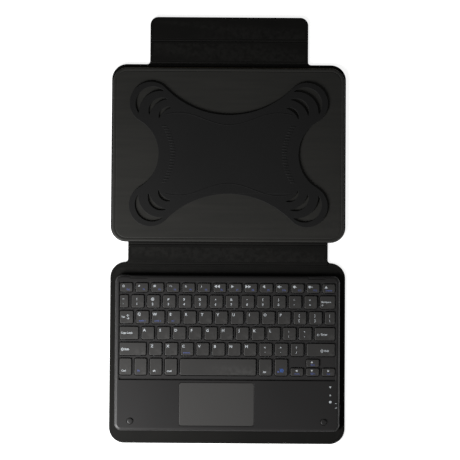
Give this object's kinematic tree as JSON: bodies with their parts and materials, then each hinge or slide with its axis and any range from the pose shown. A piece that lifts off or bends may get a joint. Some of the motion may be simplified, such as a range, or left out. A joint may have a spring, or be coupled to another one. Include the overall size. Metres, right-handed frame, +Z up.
{
  "type": "tablet keyboard case",
  "caption": "Folding tablet case lying open: keyboard and touchpad on one panel, silicone corner gripper on the other, with a closing flap.",
  "frame": {"origin": "middle of the open case's footprint, on the table", "axes": "+X to the typist's right, +Y from the keyboard's front edge to the closing flap, +Z up from the table"},
  "size_m": [0.2526, 0.459, 0.0085],
  "materials": {
    "leather": "black grained faux leather, satin",
    "lining": "smooth dark lining cloth",
    "stiff_board": "grey paper board",
    "magnet": "nickel plate",
    "housing": "dark grey fine matt moulding",
    "key_plastic": "matt key caps",
    "steel": "sheet steel",
    "film": "clear printed film",
    "silicone": "matt black silicone",
    "dome_rubber": "pale silicone rubber",
    "circuit": "green solder mask",
    "cell": "foil pouch",
    "light": "clear light pipe",
    "touch": "smooth satin",
    "tray": "dark grey brushed faux leather",
    "glue": "adhesive sheet"
  },
  "bodies": {
    "keyboard_half": {"base_skin": "leather", "base_board": "stiff_board", "base_lining": "lining", "catch_magnets": "magnet", "keyboard_bottom_shell": "housing", "keyboard_top_shell": "housing", "key_backing_plate": "steel", "key_membrane": "film", "key_domes": "dome_rubber", "circuit_board": "circuit", "battery": "cell", "charging_port": "steel", "indicator_lights": "light", "rubber_bumpers": "silicone", "case_screws": "steel", "power_switch_body": "steel"},
    "power_slider": {"power_switch_slider": "housing"},
    "touchpad": {"touchpad": "touch", "touchpad_board": "circuit"},
    "spine": {"spine_skin": "leather", "spine_board": "stiff_board", "spine_lining": "lining"},
    "back_lower": {"back_lower_skin": "leather", "back_lower_board": "stiff_board", "back_lower_lining": "lining"},
    "back_upper": {"back_upper_skin": "leather", "back_upper_board": "stiff_board", "tray_adhesive": "glue", "tray_board": "stiff_board", "tray_cover": "tray", "silicone_gripper": "silicone"},
    "flap_root": {"flap_root_skin": "leather", "flap_root_board": "stiff_board", "flap_root_lining": "lining"},
    "flap_tip": {"flap_tip_skin": "leather", "flap_tip_board": "stiff_board", "flap_tip_lining": "lining", "flap_magnets": "magnet"},
    "keys_function_row_body": {"keys_function_row": "key_plastic"},
    "key_grave_body": {"key_grave": "key_plastic"},
    "keys_number_row_body": {"keys_number_row": "key_plastic"},
    "key_backspace_body": {"key_backspace": "key_plastic"},
    "key_tab_body": {"key_tab": "key_plastic"},
    "keys_upper_letters_body": {"keys_upper_letters": "key_plastic"},
    "key_backslash_body": {"key_backslash": "key_plastic"},
    "key_caps_body": {"key_caps": "key_plastic"},
    "keys_middle_letters_body": {"keys_middle_letters": "key_plastic"},
    "key_enter_body": {"key_enter": "key_plastic"},
    "key_shift_left_body": {"key_shift_left": "key_plastic"},
    "keys_lower_letters_body": {"keys_lower_letters": "key_plastic"},
    "key_shift_right_body": {"key_shift_right": "key_plastic"},
    "keys_modifiers_body": {"keys_modifiers": "key_plastic"},
    "key_space_body": {"key_space": "key_plastic"},
    "key_alt_right_body": {"key_alt_right": "key_plastic"},
    "key_connect_body": {"key_connect": "key_plastic"},
    "key_arrow_up_body": {"key_arrow_up": "key_plastic"},
    "keys_arrows_lower_body": {"keys_arrows_lower": "key_plastic"}
  },
  "joints": [
    {"name": "spine_fold", "type": "hinge", "parent": "keyboard_half", "child": "spine", "pos_m": [0, -0.0374, 0.001], "axis": [1, 0, 0], "range_deg": [0, 90]},
    {"name": "back_fold", "type": "hinge", "parent": "spine", "child": "back_lower", "pos_m": [0, -0.0166, 0.001], "axis": [-1, 0, 0], "range_deg": [-108, 0]},
    {"name": "easel_crease", "type": "hinge", "parent": "back_lower", "child": "back_upper", "pos_m": [0, 0.0454, 0.001], "axis": [1, 0, 0], "range_deg": [-28, 0]},
    {"name": "flap_fold", "type": "hinge", "parent": "back_upper", "child": "flap_root", "pos_m": [0, 0.1793, 0.001], "axis": [1, 0, 0], "range_deg": [0, 90]},
    {"name": "flap_crease", "type": "hinge", "parent": "flap_root", "child": "flap_tip", "pos_m": [0, 0.2034, 0.001], "axis": [1, 0, 0], "range_deg": [0, 90]},
    {"name": "power_slide", "type": "slide", "parent": "keyboard_half", "child": "power_slider", "axis": [0, 1, 0], "range_m": [0, 0.002]},
    {"name": "touchpad_click", "type": "slide", "parent": "keyboard_half", "child": "touchpad", "axis": [0, 0, -1], "range_m": [0, 0.0003], "stiffness_N_per_m": 3000, "springref_m": -0.0005},
    {"name": "keys_function_row_press", "type": "slide", "parent": "keyboard_half", "child": "keys_function_row_body", "axis": [0, 0, -1], "range_m": [0, 0.0012], "stiffness_N_per_m": 400, "springref_m": -0.0008},
    {"name": "key_grave_press", "type": "slide", "parent": "keyboard_half", "child": "key_grave_body", "axis": [0, 0, -1], "range_m": [0, 0.0012], "stiffness_N_per_m": 400, "springref_m": -0.0008},
    {"name": "keys_number_row_press", "type": "slide", "parent": "keyboard_half", "child": "keys_number_row_body", "axis": [0, 0, -1], "range_m": [0, 0.0012], "stiffness_N_per_m": 400, "springref_m": -0.0008},
    {"name": "key_backspace_press", "type": "slide", "parent": "keyboard_half", "child": "key_backspace_body", "axis": [0, 0, -1], "range_m": [0, 0.0012], "stiffness_N_per_m": 400, "springref_m": -0.0008},
    {"name": "key_tab_press", "type": "slide", "parent": "keyboard_half", "child": "key_tab_body", "axis": [0, 0, -1], "range_m": [0, 0.0012], "stiffness_N_per_m": 400, "springref_m": -0.0008},
    {"name": "keys_upper_letters_press", "type": "slide", "parent": "keyboard_half", "child": "keys_upper_letters_body", "axis": [0, 0, -1], "range_m": [0, 0.0012], "stiffness_N_per_m": 400, "springref_m": -0.0008},
    {"name": "key_backslash_press", "type": "slide", "parent": "keyboard_half", "child": "key_backslash_body", "axis": [0, 0, -1], "range_m": [0, 0.0012], "stiffness_N_per_m": 400, "springref_m": -0.0008},
    {"name": "key_caps_press", "type": "slide", "parent": "keyboard_half", "child": "key_caps_body", "axis": [0, 0, -1], "range_m": [0, 0.0012], "stiffness_N_per_m": 400, "springref_m": -0.0008},
    {"name": "keys_middle_letters_press", "type": "slide", "parent": "keyboard_half", "child": "keys_middle_letters_body", "axis": [0, 0, -1], "range_m": [0, 0.0012], "stiffness_N_per_m": 400, "springref_m": -0.0008},
    {"name": "key_enter_press", "type": "slide", "parent": "keyboard_half", "child": "key_enter_body", "axis": [0, 0, -1], "range_m": [0, 0.0012], "stiffness_N_per_m": 400, "springref_m": -0.0008},
    {"name": "key_shift_left_press", "type": "slide", "parent": "keyboard_half", "child": "key_shift_left_body", "axis": [0, 0, -1], "range_m": [0, 0.0012], "stiffness_N_per_m": 400, "springref_m": -0.0008},
    {"name": "keys_lower_letters_press", "type": "slide", "parent": "keyboard_half", "child": "keys_lower_letters_body", "axis": [0, 0, -1], "range_m": [0, 0.0012], "stiffness_N_per_m": 400, "springref_m": -0.0008},
    {"name": "key_shift_right_press", "type": "slide", "parent": "keyboard_half", "child": "key_shift_right_body", "axis": [0, 0, -1], "range_m": [0, 0.0012], "stiffness_N_per_m": 400, "springref_m": -0.0008},
    {"name": "keys_modifiers_press", "type": "slide", "parent": "keyboard_half", "child": "keys_modifiers_body", "axis": [0, 0, -1], "range_m": [0, 0.0012], "stiffness_N_per_m": 400, "springref_m": -0.0008},
    {"name": "key_space_press", "type": "slide", "parent": "keyboard_half", "child": "key_space_body", "axis": [0, 0, -1], "range_m": [0, 0.0012], "stiffness_N_per_m": 400, "springref_m": -0.0008},
    {"name": "key_alt_right_press", "type": "slide", "parent": "keyboard_half", "child": "key_alt_right_body", "axis": [0, 0, -1], "range_m": [0, 0.0012], "stiffness_N_per_m": 400, "springref_m": -0.0008},
    {"name": "key_connect_press", "type": "slide", "parent": "keyboard_half", "child": "key_connect_body", "axis": [0, 0, -1], "range_m": [0, 0.0012], "stiffness_N_per_m": 400, "springref_m": -0.0008},
    {"name": "key_arrow_up_press", "type": "slide", "parent": "keyboard_half", "child": "key_arrow_up_body", "axis": [0, 0, -1], "range_m": [0, 0.0012], "stiffness_N_per_m": 400, "springref_m": -0.0008},
    {"name": "keys_arrows_lower_press", "type": "slide", "parent": "keyboard_half", "child": "keys_arrows_lower_body", "axis": [0, 0, -1], "range_m": [0, 0.0012], "stiffness_N_per_m": 400, "springref_m": -0.0008}
  ]
}
